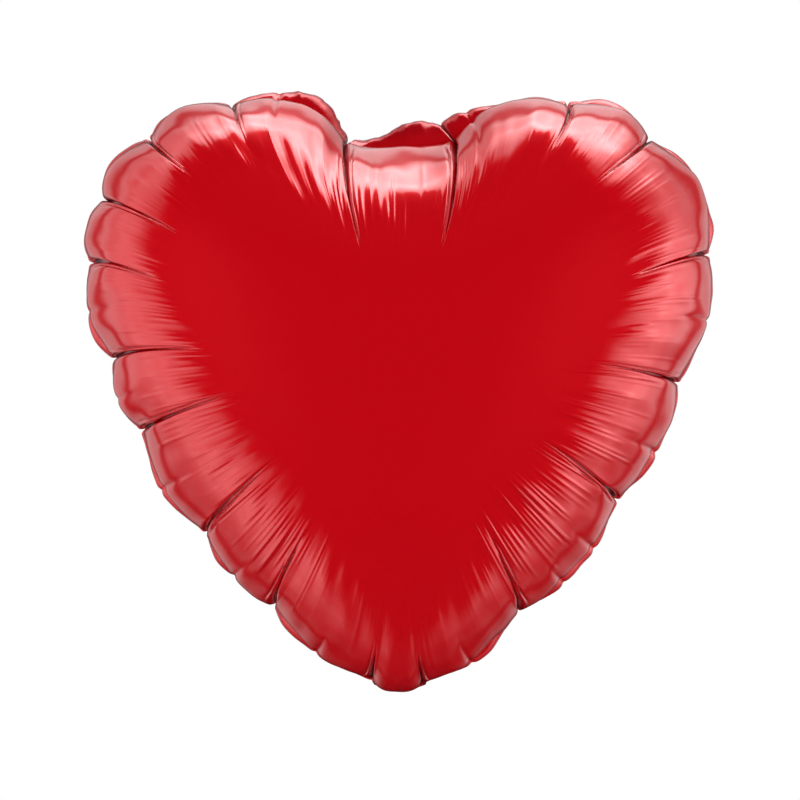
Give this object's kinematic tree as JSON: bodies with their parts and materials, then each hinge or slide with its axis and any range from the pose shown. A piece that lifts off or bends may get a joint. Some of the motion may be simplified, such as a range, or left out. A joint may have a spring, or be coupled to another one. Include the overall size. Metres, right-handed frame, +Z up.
{
  "type": "foil balloon",
  "caption": "Filled heart-shaped foil balloon: two sealed film panels with a self-closing valve and a tail folded up behind.",
  "frame": {"origin": "middle of the neck's fold at the heart's bottom tip, in the plane of the seal", "axes": "+Z up through the middle of the heart, -Y out of the front panel, +X across the heart to the viewer's right"},
  "size_m": [0.3756, 0.172, 0.3567],
  "materials": {
    "red_foil": "metallised film, glossy",
    "clear_valve_film": "clear film"
  },
  "bodies": {
    "envelope": {"front_panel": "red_foil", "back_panel": "red_foil", "valve_front_ply": "clear_valve_film", "valve_back_ply": "clear_valve_film"},
    "tail": {"tail_front_film": "red_foil", "tail_back_film": "red_foil", "tail_valve_front_ply": "clear_valve_film", "tail_valve_back_ply": "clear_valve_film"}
  },
  "joints": [
    {"name": "tail_fold", "type": "hinge", "parent": "envelope", "child": "tail", "pos_m": [0, 0, -0.0009], "axis": [-1, 0, 0], "range_deg": [0, 170]}
  ]
}
